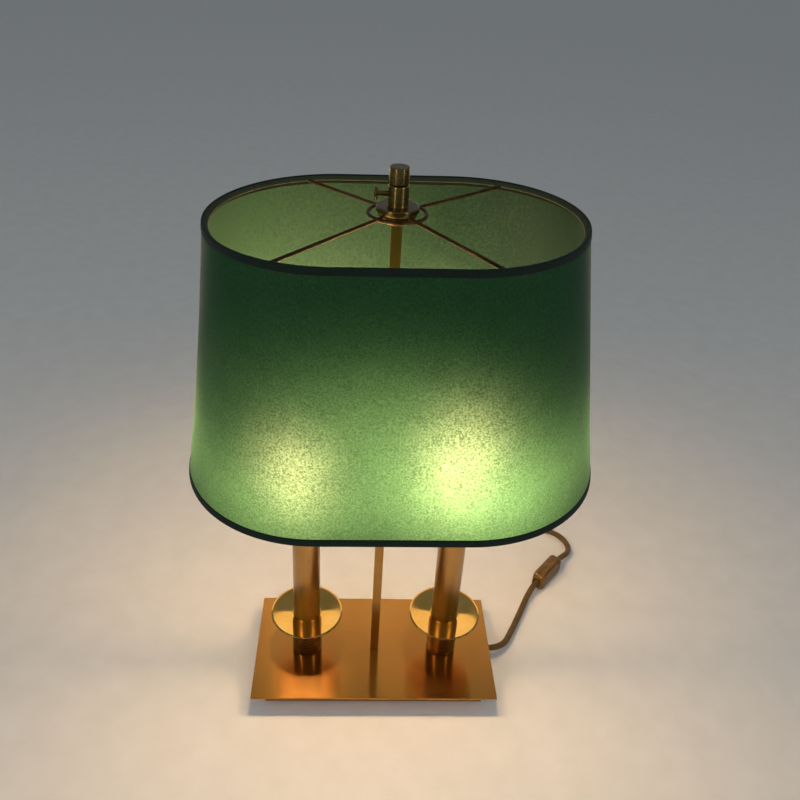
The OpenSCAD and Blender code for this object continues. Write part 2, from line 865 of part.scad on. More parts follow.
module switch_back() {
    floor_y = shell_half - shell_wall;
    color(gold_plastic) at_switch() difference() {
        union() {
            difference() {
                shell_form();
                shell_cavity();
            }
            at_bosses() cylinder(r = boss_r, h = floor_y + 1);
        }
        cord_ports();
        at_bosses() {
            translate([0, 0, -1]) cylinder(r = switch_screw_r + fit_gap, h = switch_t);
            translate([0, 0, shell_half - switch_screw_head_h])
                cylinder(r = switch_screw_head_r + fit_gap, h = switch_screw_head_h + 1);
        }
    }
}

module switch_front() {
    floor_y = shell_half - shell_wall;
    bearing_z = rocker_w / 2 + seat_gap;
    color(gold_plastic) at_switch() difference() {
        union() {
            mirror([0, 1, 0]) difference() {
                shell_form();
                shell_cavity();
            }
            mirror([0, 1, 0]) at_bosses() cylinder(r = boss_r, h = floor_y + 1);
            for (side = [-1, 1]) mirror([0, 0, side > 0 ? 0 : 1])
                translate([-bearing_l / 2, -floor_y - 1, bearing_z])
                    cube([bearing_l, floor_y + 1 + pivot_y + trunnion_r + 1, bearing_t]);
        }
        cord_ports();
        mirror([0, 1, 0]) at_bosses() translate([0, 0, -1])
            cylinder(r = switch_screw_r + fit_gap, h = floor_y + 1);
        translate([-window_l / 2, -switch_t, -window_w / 2])
            cube([window_l, switch_t - floor_y + 0.5, window_w]);
        translate([0, pivot_y, -trunnion_l / 2 - seat_gap])
            cylinder(r = trunnion_r + fit_gap, h = trunnion_l + 2 * seat_gap);
    }
}

module switch_screws() {
    color(steel) at_switch() at_bosses() translate([0, 0, shell_half - switch_screw_head_h]) {
        cylinder(r = switch_screw_head_r, h = switch_screw_head_h - fit_gap);
        translate([0, 0, 1 - switch_t / 2 - 2]) cylinder(r = switch_screw_r, h = switch_t / 2 + 1);
    }
}

module switch_rocker() {
    reach = rocker_r + 1;
    edge = rocker_crown + reach * tan(rocker_slope);
    color(gold_plastic) at_switch() translate([0, pivot_y, 0]) rotate([0, 0, rocker_tilt]) {
        translate([0, 0, -rocker_w / 2]) linear_extrude(rocker_w) intersection() {
            circle(rocker_r);
            polygon([
                [-reach, rocker_back], [reach, rocker_back],
                [reach, -edge], [0, -rocker_crown], [-reach, -edge]
            ]);
        }
        translate([0, 0, -trunnion_l / 2]) cylinder(r = trunnion_r, h = trunnion_l);
    }
}

// ---- plug, modelled along X with its cord end at x = 0, then turned to lie beside the coil ----

module at_plug() {
    translate([plug_at[0], plug_at[1], plug_z]) rotate([0, 0, 180]) children();
}

module plug_body() {
    color(gold_plastic) at_plug() difference() {
        hull() {
            translate([plug_l, 0, 0]) rotate([0, -90, 0]) linear_extrude(plug_shoulder)
                rounded_rect(plug_t, plug_w, plug_corner, $fn = 32);
            rotate([0, 90, 0]) cylinder(r = plug_tail_r, h = plug_shoulder, $fn = 32);
        }
        translate([-1, 0, 0]) rotate([0, 90, 0]) cylinder(r = cord_r + thread_gap, h = cord_grip + 1);
        for (side = [-1, 1]) translate([plug_l - pin_root, side * pin_span / 2, 0]) rotate([0, 90, 0])
            cylinder(r = pin_d / 2 + fit_gap, h = pin_root + 1);
    }
}

module plug_pins() {
    color(steel) at_plug() for (side = [-1, 1])
        translate([plug_l - pin_root, side * pin_span / 2, 0]) rotate([0, 90, 0]) {
            cylinder(r = pin_d / 2, h = pin_root + pin_l - pin_d / 2);
            translate([0, 0, pin_root + pin_l - pin_d / 2]) sphere(r = pin_d / 2);
        }
}

// ---- collar that slides on the stem ----

module collar() {
    r = collar_d / 2;
    flange_r = flange_d / 2;
    hole = stem_w + 2 * slide_gap;
    color(aged_brass) difference() {
        rotate_extrude() polygon([
            [0, thread_z], [thread_r, thread_z], [thread_r, flange_z], [flange_r - flange_edge, flange_z],
            [flange_r, flange_z + flange_edge], [flange_r, flange_top - flange_edge],
            [flange_r - flange_edge, flange_top], [r, flange_top], [r, collar_top - flange_edge],
            [r - flange_edge, collar_top], [0, collar_top]
        ]);
        translate([-hole / 2, -hole / 2, thread_z - 1]) cube([hole, hole, collar_top - thread_z + 2]);
        translate([0, 0, thumb_z]) rotate([0, -90, 0]) cylinder(r = thumb_r + fit_gap, h = collar_d);
    }
}

module thumb_screw() {
    r = thumb_d / 2;
    color(aged_brass) translate([thumb_head_x, 0, thumb_z]) {
        rotate([0, 90, 0]) cylinder(r = thumb_r, h = thumb_tip_x - thumb_head_x);
        rotate([0, -90, 0]) rotate_extrude() polygon([
            [0, 0], [r - thumb_edge, 0], [r, thumb_edge],
            [r, thumb_t - thumb_edge], [r - thumb_edge, thumb_t], [0, thumb_t]
        ]);
    }
}

module ring_nut() {
    color(aged_brass) translate([0, 0, ring_nut_z]) bored(ring_nut_d / 2, ring_nut_h, thread_r + fit_gap);
}

// ---- shade and its wires ----

module spider() {
    wire_half = oval_half(top_wire_z);
    wire_oval_r = oval_r(top_wire_z) - lining - edge_wire_d / 2;
    start_r = hub_d / 2 - 1;
    color(wire_brass) {
        translate([0, 0, hub_z]) bored(hub_d / 2, hub_t, thread_r + fit_gap);
        translate([0, 0, hub_mid]) rotate_extrude() translate([ring_d / 2, 0]) circle(wire_d / 2, $fn = 24);
        for (a = [arm_angle, 180 - arm_angle, 180 + arm_angle, -arm_angle]) {
            turn = a + spider_turn;
            level = turn - shade_turn;
            reach = oval_reach(wire_half, wire_oval_r, level);
            hub_end = [start_r * cos(turn), start_r * sin(turn), hub_mid];
            wire_end = askew([reach * cos(level), reach * sin(level), top_wire_z]);
            wire_between(hub_end, wire_end, wire_d / 2, $fn = 24);
        }
        set_askew() translate([0, 0, top_wire_z]) oval_wire(wire_half, wire_oval_r, edge_wire_d / 2);
    }
}

module lower_wire() {
    wire_r = edge_wire_d / 2;
    color(wire_brass) set_askew() translate([0, 0, bottom_wire_z])
        oval_wire(oval_half(bottom_wire_z), oval_r(bottom_wire_z) - lining - wire_r, wire_r);
}

module shade() {
    color(green_paper)
        oval_band([[0, shade_z], [0, shade_top], [-shade_wall, shade_top], [-shade_wall, shade_z]]);
}

// Tape folded over one edge of the shade; fold is the height past the edge, tail the height it covers
module binding(edge, tail, sign) {
    out = wrap_gap + binding_t;
    fold = edge + sign * wrap_gap;
    far = edge + sign * out;
    sections = [
        [out, tail], [out, far], [-shade_wall - out, far], [-shade_wall - out, tail],
        [-shade_wall - wrap_gap, tail], [-shade_wall - wrap_gap, fold], [wrap_gap, fold], [wrap_gap, tail]
    ];
    ordered = sign > 0 ? sections : [for (i = [7 : -1 : 0]) sections[i]];
    color(dark_tape) oval_band(ordered);
}

module top_binding() {
    binding(shade_top, shade_top - top_binding_h, 1);
}

module bottom_binding() {
    binding(shade_z, shade_z + bottom_binding_h, -1);
}

// ---- build ----

base_plate();
base_frame();
weight_plate();
felt_pad();
base_screws();
stem_bar();
stem_screw();
stem_washer();
knob();
foot(-1);  // foot_left
foot(1);  // foot_right
dish(-1);  // dish_left
dish(1);  // dish_right
candle_tube(-1);  // candle_tube_left
candle_tube(1);  // candle_tube_right
rod(-1);  // rod_left
rod(1);  // rod_right
rod_washers();
rod_nuts();
holder(-1);  // holder_left
holder(1);  // holder_right
bulb_cap(-1);  // bulb_cap_left
bulb_cap(1);  // bulb_cap_right
bulb_glass(-1);  // bulb_glass_left
bulb_glass(1);  // bulb_glass_right
wire(-1);  // wire_left
wire(1);  // wire_right
terminal_block();
terminal_screws();
cord_clamp();
clamp_screws();
strain_relief();
mains_tail();
cord_lead();
switch_front();
switch_back();
switch_screws();
switch_rocker();
cord_run();
cord_coil();
cord_tie();
cord_end();
plug_body();
plug_pins();
collar();
thumb_screw();
ring_nut();
spider();
lower_wire();
shade();
top_binding();
bottom_binding();
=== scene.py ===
import json
import math
import bmesh
import bpy
from mathutils import Matrix, Vector


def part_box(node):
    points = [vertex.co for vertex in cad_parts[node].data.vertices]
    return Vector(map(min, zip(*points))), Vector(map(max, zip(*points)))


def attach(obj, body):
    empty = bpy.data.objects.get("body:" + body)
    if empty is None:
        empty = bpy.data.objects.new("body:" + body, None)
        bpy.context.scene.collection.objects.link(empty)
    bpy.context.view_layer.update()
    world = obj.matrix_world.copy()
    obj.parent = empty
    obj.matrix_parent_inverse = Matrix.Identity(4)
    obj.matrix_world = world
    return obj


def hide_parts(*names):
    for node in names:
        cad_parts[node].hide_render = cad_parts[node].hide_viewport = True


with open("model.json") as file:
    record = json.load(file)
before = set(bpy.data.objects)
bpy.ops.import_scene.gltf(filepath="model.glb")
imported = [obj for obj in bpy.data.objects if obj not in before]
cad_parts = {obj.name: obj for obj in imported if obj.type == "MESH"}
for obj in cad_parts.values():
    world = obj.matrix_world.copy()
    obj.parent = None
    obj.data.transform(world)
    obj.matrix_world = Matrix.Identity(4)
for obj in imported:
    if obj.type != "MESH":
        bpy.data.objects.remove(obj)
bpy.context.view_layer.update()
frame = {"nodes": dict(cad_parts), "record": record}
nodes = frame["nodes"]
print("frame loaded,", len(nodes), "nodes")

mm = 0.001


def srgb(text):
    # "#rrggbb" to a linear colour
    parts = [int(text[i:i + 2], 16) / 255 for i in (1, 3, 5)]
    linear = [p / 12.92 if p <= 0.04045 else ((p + 0.055) / 1.055) ** 2.4 for p in parts]
    return (*linear, 1.0)


camera = {"place": (-0.03053, -0.56994, 0.68705), "lens": 36.276, "sensor": 36,
          "near": 0.01, "far": 50, "down": 32.3686, "right": 4.1283, "roll": 3.6624}

cameraData = bpy.data.cameras.new("camera")
cameraData.lens = camera["lens"]
cameraData.sensor_width = camera["sensor"]
cameraData.clip_start = camera["near"]
cameraData.clip_end = camera["far"]
cameraObject = bpy.data.objects.new("camera", cameraData)
pan = Matrix.Rotation(math.radians(-camera["right"]), 4, "Z")
tilt = Matrix.Rotation(math.radians(90 - camera["down"]), 4, "X")
roll = Matrix.Rotation(math.radians(camera["roll"]), 4, "Z")
cameraObject.matrix_world = Matrix.Translation(camera["place"]) @ (pan @ tilt) @ roll
bpy.context.scene.collection.objects.link(cameraObject)
bpy.context.scene.camera = cameraObject
print("camera placed")


def addNode(tree, kind, settings=None, links=None):
    # one node: settings are its properties, input values or colour stops,
    # and links go from a socket to one of its inputs
    node = tree.nodes.new(kind)
    for key, value in (settings or {}).items():
        if key == "stops":
            bar = node.color_ramp
            while len(bar.elements) < len(value):
                bar.elements.new(0.5)
            for element, (position, colour) in zip(bar.elements, value):
                element.position = position
                element.color = srgb(colour)
        elif isinstance(key, str) and hasattr(node, key):
            setattr(node, key, value)
        else:
            node.inputs[key].default_value = value
    for key, socket in (links or {}).items():
        tree.links.new(socket, node.inputs[key])
    return node


def newMaterial(name):
    material = bpy.data.materials.new(name)
    material.use_nodes = True
    material.node_tree.nodes.clear()
    return material, material.node_tree


def finishMaterial(tree, shader):
    addNode(tree, "ShaderNodeOutputMaterial", {}, {"Surface": shader.outputs[0]})


def meshPiece(name, verts, faces, materials, body, smooth=True, faceMaterial=None):
    data = bpy.data.meshes.new(name)
    data.from_pydata([tuple(v) for v in verts], [], faces)
    bm = bmesh.new()
    bm.from_mesh(data)
    bmesh.ops.recalc_face_normals(bm, faces=bm.faces)
    bm.to_mesh(data)
    bm.free()
    for material in materials:
        data.materials.append(material)
    for index, polygon in enumerate(data.polygons):
        polygon.use_smooth = smooth
        if faceMaterial:
            polygon.material_index = faceMaterial[index]
    piece = bpy.data.objects.new(name, data)
    bpy.context.scene.collection.objects.link(piece)
    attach(piece, body)
    return piece


def bandMesh(rings, closedAlong=False, caps=False):
    # four-sided faces between rings of the same count
    count, n = len(rings), len(rings[0])
    verts = [p for ring in rings for p in ring]
    faces = []
    for k in range(count if closedAlong else count - 1):
        for i in range(n):
            a, b = k * n + i, k * n + (i + 1) % n
            c, d = ((k + 1) % count) * n + (i + 1) % n, ((k + 1) % count) * n + i
            faces.append((a, b, c, d))
    if caps:
        faces.append(tuple(range(n))[::-1])
        faces.append(tuple((count - 1) * n + i for i in range(n)))
    return verts, faces


# how the lines of a finish run: their length in millimetres along X, Y and Z, or 0 across them,
# and the direction across them, which for lines that run up a wall is found from the wall itself
lays = {"long": ((60, 0, 0), (-0.1, 0.995, 0.0)),
        "round": ((60, 60, 0), (0.0, 0.0, 1.0)),
        "upright": ((0, 0, 60), None)}


def satinBrass(name, colours, roughness, grain, lay, anisotropic, scratch=0.2, spread=0.05,
               specks=None):
    # fine lines from belt, lathe or die, drawn coarser than they are, pull each reflection out
    # across them, and the tone drifts slowly over some 40 mm
    material, tree = newMaterial(name)
    place = addNode(tree, "ShaderNodeTexCoord")
    lengths, across = lays[lay]
    stretch = tuple(1 / (length * mm) if length else 1 / grain for length in lengths)
    lines = addNode(tree, "ShaderNodeMapping", {"Scale": stretch},
                    {"Vector": place.outputs["Object"]})
    streak = addNode(tree, "ShaderNodeTexNoise", {"Scale": 1.0, "Detail": 3.0, "Roughness": 0.6},
                     {"Vector": lines.outputs[0]})
    cloud = addNode(tree, "ShaderNodeTexNoise",
                    {"Scale": 1 / (38 * mm), "Detail": 4.0, "Roughness": 0.55},
                    {"Vector": place.outputs["Object"]})
    slow = addNode(tree, "ShaderNodeMath", {"operation": "MULTIPLY", 1: 0.6},
                   {0: cloud.outputs[0]})
    tone = addNode(tree, "ShaderNodeMath", {"operation": "MULTIPLY_ADD", 1: 0.4},
                   {0: streak.outputs[0], 2: slow.outputs[0]})
    colour = addNode(tree, "ShaderNodeValToRGB",
                     {"stops": [(0.36, colours[0]), (0.5, colours[1]), (0.64, colours[2])]},
                     {"Fac": tone.outputs[0]})
    tint = colour.outputs["Color"]
    if specks:
        # pinholes in the lacquer, where the brass has gone dark
        holes = addNode(tree, "ShaderNodeTexVoronoi", {"Scale": 1 / (specks["apart"] * mm)},
                        {"Vector": place.outputs["Object"]})
        inHole = addNode(tree, "ShaderNodeMath",
                         {"operation": "LESS_THAN", 1: specks["radius"] / specks["apart"]},
                         {0: holes.outputs["Distance"]})
        spotted = addNode(tree, "ShaderNodeMix",
                          {"data_type": "RGBA", "B": srgb(specks["colour"])},
                          {"Factor": inHole.outputs[0], "A": tint})
        tint = spotted.outputs[2]
    polish = addNode(tree, "ShaderNodeMapRange",
                     {"From Min": 0.3, "From Max": 0.7,
                      "To Min": roughness - spread, "To Max": roughness + spread},
                     {"Value": streak.outputs[0]})
    bump = addNode(tree, "ShaderNodeBump", {"Strength": scratch, "Distance": 0.02 * mm},
                   {"Height": streak.outputs[0]})
    if across:
        tangent = addNode(tree, "ShaderNodeCombineXYZ",
                          {"X": across[0], "Y": across[1], "Z": across[2]})
    else:
        wall = addNode(tree, "ShaderNodeNewGeometry")
        tangent = addNode(tree, "ShaderNodeVectorMath",
                          {"operation": "CROSS_PRODUCT", 1: (0.0, 0.0, 1.0)},
                          {0: wall.outputs["True Normal"]})
    metal = addNode(tree, "ShaderNodeBsdfPrincipled",
                    {"Metallic": 1.0, "Anisotropic": anisotropic},
                    {"Base Color": tint, "Roughness": polish.outputs[0],
                     "Normal": bump.outputs[0], "Tangent": tangent.outputs[0]})
    finishMaterial(tree, metal)
    return material


def rubbedMetal(name, colours, roughness, grit, bumpDepth=0.01):
    # metal with a slightly uneven face: the colour drifts and the gloss changes from place to place
    material, tree = newMaterial(name)
    place = addNode(tree, "ShaderNodeTexCoord")
    cloud = addNode(tree, "ShaderNodeTexNoise",
                    {"Scale": 1 / grit, "Detail": 5.0, "Roughness": 0.6},
                    {"Vector": place.outputs["Object"]})
    colour = addNode(tree, "ShaderNodeValToRGB",
                     {"stops": [(0.34, colours[0]), (0.52, colours[1]), (0.68, colours[2])]},
                     {"Fac": cloud.outputs[0]})
    polish = addNode(tree, "ShaderNodeMapRange",
                     {"From Min": 0.3, "From Max": 0.7,
                      "To Min": roughness * 0.8, "To Max": roughness * 1.25},
                     {"Value": cloud.outputs[0]})
    bump = addNode(tree, "ShaderNodeBump", {"Strength": 0.3, "Distance": bumpDepth * mm},
                   {"Height": cloud.outputs[0]})
    metal = addNode(tree, "ShaderNodeBsdfPrincipled", {"Metallic": 1.0},
                    {"Base Color": colour.outputs[0], "Roughness": polish.outputs[0],
                     "Normal": bump.outputs[0]})
    finishMaterial(tree, metal)
    return material


def mouldedPlastic(name, colours, roughness, grain, specular=0.5):
    # fine grain from the mould or die, drawn coarser than it is, and a slow change of tone
    material, tree = newMaterial(name)
    place = addNode(tree, "ShaderNodeTexCoord")
    fine = addNode(tree, "ShaderNodeTexNoise", {"Scale": 1 / grain, "Detail": 2.0},
                   {"Vector": place.outputs["Object"]})
    slow = addNode(tree, "ShaderNodeTexNoise", {"Scale": 1 / (14 * mm), "Detail": 2.0},
                   {"Vector": place.outputs["Object"]})
    colour = addNode(tree, "ShaderNodeValToRGB",
                     {"stops": [(0.35, colours[0]), (0.65, colours[1])]},
                     {"Fac": slow.outputs[0]})
    bump = addNode(tree, "ShaderNodeBump", {"Strength": 0.35, "Distance": 0.05 * mm},
                   {"Height": fine.outputs[0]})
    skin = addNode(tree, "ShaderNodeBsdfPrincipled",
                   {"Roughness": roughness, "IOR": 1.53, "Specular IOR Level": specular},
                   {"Base Color": colour.outputs[0], "Normal": bump.outputs[0]})
    finishMaterial(tree, skin)
    return material


# belt-ground sheet: smooth to the eye, with every reflection drawn out across the belt's lines
plateBrass = satinBrass("satinBrassBelted", ("#b37d3a", "#b7803e", "#bb8442"), 0.215, 0.35 * mm,
                        "long", 0.95, scratch=0.0, spread=0.004)
# drawn tube: broad soft bands that run up it, and a few dark pinholes in its lacquer
tubeBrass = satinBrass("satinBrassTube", ("#a8824e", "#ae8854", "#b48f5b"), 0.31, 0.8 * mm,
                       "upright", 0.35, scratch=0.01, spread=0.01,
                       specks={"apart": 9, "radius": 0.5, "colour": "#2a1a0a"})
# turned on a lathe: rings too fine to see that stretch each gleam up the wall
footBrass = satinBrass("satinBrassTurned", ("#8e6e3f", "#987847", "#a2824f"), 0.26, 0.5 * mm,
                       "round", 0.4, scratch=0.05, spread=0.02)
# drawn square bar: an even, rather dull face with lines along it
barBrass = satinBrass("satinBrassDrawn", ("#96703a", "#a27c42", "#ae884e"), 0.34, 0.5 * mm,
                      "upright", 0.4)
# polished and lacquered: a warm mirror, a little uneven
mirrorBrass = rubbedMetal("polishedBrassLacquered", ("#dfab54", "#e6b45c", "#ebbb66"), 0.05,
                          22 * mm, 0.004)
# turned and left bare: gone to olive gold, with thin upright gleams
agedBrass = satinBrass("agedBrassTurned", ("#73603a", "#7f6b40", "#8b774a"), 0.28, 0.4 * mm,
                       "round", 0.75, scratch=0.08, spread=0.03)
# bronzed wire: dark brown, with light only along its edge
bronzedWire = rubbedMetal("brassWireBronzed", ("#47351d", "#564225", "#654e2e"), 0.42, 3 * mm)
# zinc-plated steel: pale, cool and cloudy
zincSteel = rubbedMetal("steelZincPlated", ("#a3a7aa", "#b0b4b7", "#bdc0c2"), 0.34, 2.5 * mm)
# raw steel plate: dull grey with mill scale
rawSteel = rubbedMetal("steelPlateRaw", ("#3c3e40", "#4a4c4e", "#595b5d"), 0.55, 5 * mm, 0.05)
# moulded PVC, gold-brown: satin, a little brighter on its rounded edges
goldPlastic = mouldedPlastic("pvcGoldBrownMoulded", ("#66450f", "#755118"), 0.35, 0.5 * mm,
                             specular=0.25)
# extruded PVC sheath: duller than the moulded case, and slightly rough
cordPvc = mouldedPlastic("pvcGoldBrownExtruded", ("#5b431a", "#684d22"), 0.5, 0.9 * mm,
                         specular=0.2)
# moulded polyamide: cream and matt
creamPlastic = mouldedPlastic("polyamideCreamMoulded", ("#cfc4a4", "#ddd3b6"), 0.5, 0.6 * mm)
# moulded bakelite: nearly black, with a dim gloss
blackPlastic = mouldedPlastic("bakeliteBlackMoulded", ("#1f1c19", "#2b2723"), 0.45, 0.6 * mm)
print("materials made")


# the mains cord, its switch, and the coil that its spare length lies in;
# the diameter in metres, all else in millimetres and degrees
flex = {"diameter": 0.0065, "alongSteps": 6, "roundSteps": 5,
        "switchAt": (206.5, 120.5, 11.5), "switchTurn": 49, "switchHalf": 23.5,
        "inCase": 5, "straight": 6,
        "coilAt": (100, 240), "coilRings": (42.6, 36.0, 29.4), "coilLow": 4.05, "coilHigh": 10.6,
        "coilStart": 49, "coilTurns": 6, "coilEnd": 90, "coilStep": 49, "perTurn": 24}


def onSwitch(distance):
    # a point on the long axis of the switch, measured from its middle
    a = math.radians(flex["switchTurn"])
    x, y, z = flex["switchAt"]
    return (x + distance * math.cos(a), y + distance * math.sin(a), z)


def ease(t):
    t = max(0.0, min(1.0, t))
    return t * t * (3 - 2 * t)


def coilPoint(angle):
    # three turns inwards on the lower layer, then three outwards on the upper one
    outer, middle, inner = flex["coilRings"]
    step = flex["coilStep"]
    lateStep = flex["coilEnd"] - step
    radius = outer
    radius += (middle - outer) * ease((angle - 360) / step)
    radius += (inner - middle) * ease((angle - 720) / step)
    radius += (middle - inner) * ease((angle - 1440 - lateStep) / step)
    radius += (outer - middle) * ease((angle - 1800 - lateStep) / step)
    climb = flex["coilHigh"] - flex["coilLow"]
    height = flex["coilLow"] + climb * ease((angle - 1080) / step)
    a = math.radians(angle)
    x, y = flex["coilAt"]
    return (x + radius * math.cos(a), y + radius * math.sin(a), height)


def cordPiece(name, points):
    data = bpy.data.curves.new(name, "CURVE")
    data.dimensions = "3D"
    spline = data.splines.new("BEZIER")
    spline.bezier_points.add(len(points) - 1)
    for knot, point in zip(spline.bezier_points, points):
        knot.co = Vector(point) * mm
        knot.handle_left_type = knot.handle_right_type = "AUTO"
    spline.resolution_u = flex["alongSteps"]
    data.bevel_depth = flex["diameter"] / 2
    data.bevel_resolution = flex["roundSteps"]
    data.use_fill_caps = True
    data.materials.append(cordPvc)
    piece = bpy.data.objects.new(name, data)
    bpy.context.scene.collection.objects.link(piece)
    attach(piece, "base")
    return piece


half, inCase, straight = flex["switchHalf"], flex["inCase"], flex["straight"]
# out of the strain relief, down onto the table and up into the switch
leadRoute = [(117.5, 6, 12.5), (121, 6, 12.5), (128, 7.1, 12.1), (135, 10.5, 11.1),
             (141, 16, 9.9), (146.2, 24.4, 8.7), (151.3, 34, 7.7), (156.4, 43.6, 7.1),
             (161.5, 53.5, 6.9), (166.5, 63.2, 7), (171.3, 72.6, 7.4), (176, 81.6, 8.4),
             (181.4, 90.2, 9.9), onSwitch(-half - straight), onSwitch(inCase - half)]
# out of the switch and round behind the lamp
runRoute = [onSwitch(half - inCase), onSwitch(half + straight), (233, 150, 9.9),
            (239.8, 157.8, 7.8), (243.6, 168, 5.8), (243.5, 179, 4.5), (239.4, 189.3, 4.1),
            (231.5, 197.5, 4.1), (221, 203.4, 4.1), (208, 209.6, 4.1), (194, 218, 4.1),
            (180, 228, 4.1), (166, 239.2, 4.1), (153, 250.2, 4.1), (142, 259.9, 4.1),
            (135.4, 265.6, 4.1)]
turned = 360 * flex["coilTurns"] + flex["coilEnd"] - flex["coilStart"]
steps = round(turned / 360 * flex["perTurn"])
coilRoute = [coilPoint(flex["coilStart"] + turned * i / steps) for i in range(steps)]
# off the top of the coil and into the plug
endRoute = [(104, 282.4, 10.6), (92, 282.4, 10.3), (80, 282.2, 8.8), (70, 282, 7.3),
            (65, 282, 6.85), (57, 282, 6.85)]

lead = cordPiece("cordLead", leadRoute)
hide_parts("cord_lead")
flexRun = cordPiece("cordToPlug", runRoute + coilRoute + endRoute)
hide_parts("cord_run", "cord_coil", "cord_end")
print("cords laid")


# the shade in millimetres and degrees; its paper is a little slack between the two edges,
# more so at the left end
shade = {"top": 484.4, "bottom": 264.1, "topHalf": 45.0, "bottomHalf": 60.5,
         "topRadius": 96.0, "bottomRadius": 113.5, "wall": 1.0,
         "arcSteps": 56, "straightSteps": 14, "rows": 30,
         "hub": 486.6, "lean": 1.57, "nod": 0.43, "turn": -0.95,
         "slackLeft": 1.8, "slackRight": 0.3}
askew = (Matrix.Translation((0, 0, shade["hub"]))
         @ Matrix.Rotation(math.radians(shade["turn"]), 4, "Z")
         @ Matrix.Rotation(math.radians(shade["nod"]), 4, "X")
         @ Matrix.Rotation(math.radians(-shade["lean"]), 4, "Y")
         @ Matrix.Translation((0, 0, -shade["hub"])))


def ovalRing(z, out):
    # the oval at a height, out millimetres outside the paper's face
    t = (z - shade["bottom"]) / (shade["top"] - shade["bottom"])
    half = shade["bottomHalf"] + (shade["topHalf"] - shade["bottomHalf"]) * t
    radius = shade["bottomRadius"] + (shade["topRadius"] - shade["bottomRadius"]) * t + out
    sag = max(0, math.sin(math.pi * t))
    ring = []
    for side, slack in ((1, shade["slackRight"]), (-1, shade["slackLeft"])):
        for i in range(shade["arcSteps"] + 1):
            a = math.radians(-90 + 180 * i / shade["arcSteps"])
            end = half + radius * math.cos(a) - slack * sag * math.cos(a) ** 2
            ring.append(askew @ Vector((side * end, side * radius * math.sin(a), z)) * mm)
        for i in range(1, shade["straightSteps"]):
            s = 1 - 2 * i / shade["straightSteps"]
            ring.append(askew @ Vector((side * half * s, side * radius, z)) * mm)
    return ring


# the bulbs' light through the paper is painted on the shade as a glow
# where the bulbs show through the paper: place (across, up) and half widths in millimetres,
# strength, and the axis that is across
paintedBulbGlow = {"colour": "#fff69f",
               "spots": [((-70, 323.5), (18.5, 24), 0.59, "X"),
                         ((50.5, 339.5), (20, 27), 0.76, "X"), ((4, 320), (21, 26), 0.3, "Y")]}
paintedSoftGlow = {"colour": "#caff8e",
             "spots": [((-84, 290), (46, 31.5), 0.37, "X"), ((-5, 360), (61, 35.5), 0.25, "X"),
                       ((64, 306), (50, 32), 0.73, "X"), ((6, 312), (34, 36), 0.24, "Y")]}


def glowThrough(tree, place, light, unevenness):
    # a painted glow: the sum of soft spots in the light's colour, each fading as a bell;
    # unevenness is a socket that varies round 1
    total = None
    for (across, up), (wide, tall), strength, axis in light["spots"]:
        if axis == "X":
            scale = (1 / (wide * mm), 0, 1 / (tall * mm))
            shift = (-across / wide, 0, -up / tall)
        else:
            scale = (0, 1 / (wide * mm), 1 / (tall * mm))
            shift = (0, -across / wide, -up / tall)
        away = addNode(tree, "ShaderNodeMapping", {"Scale": scale, "Location": shift},
                       {"Vector": place.outputs["Object"]})
        square = addNode(tree, "ShaderNodeVectorMath", {"operation": "DOT_PRODUCT"},
                         {0: away.outputs[0], 1: away.outputs[0]})
        fade = addNode(tree, "ShaderNodeMath", {"operation": "MULTIPLY", 1: -0.5},
                       {0: square.outputs["Value"]})
        bell = addNode(tree, "ShaderNodeMath", {"operation": "EXPONENT"}, {0: fade.outputs[0]})
        spot = addNode(tree, "ShaderNodeMath",
                       {"operation": "MULTIPLY_ADD", 1: strength, 2: 0.0}, {0: bell.outputs[0]})
        if total:
            tree.links.new(total.outputs[0], spot.inputs[2])
        total = spot
    amount = addNode(tree, "ShaderNodeMath", {"operation": "MULTIPLY"},
                     {0: total.outputs[0], 1: unevenness.outputs[0]})
    return addNode(tree, "ShaderNodeVectorMath",
                   {"operation": "SCALE", 0: srgb(light["colour"])[:3]},
                   {"Scale": amount.outputs[0]})


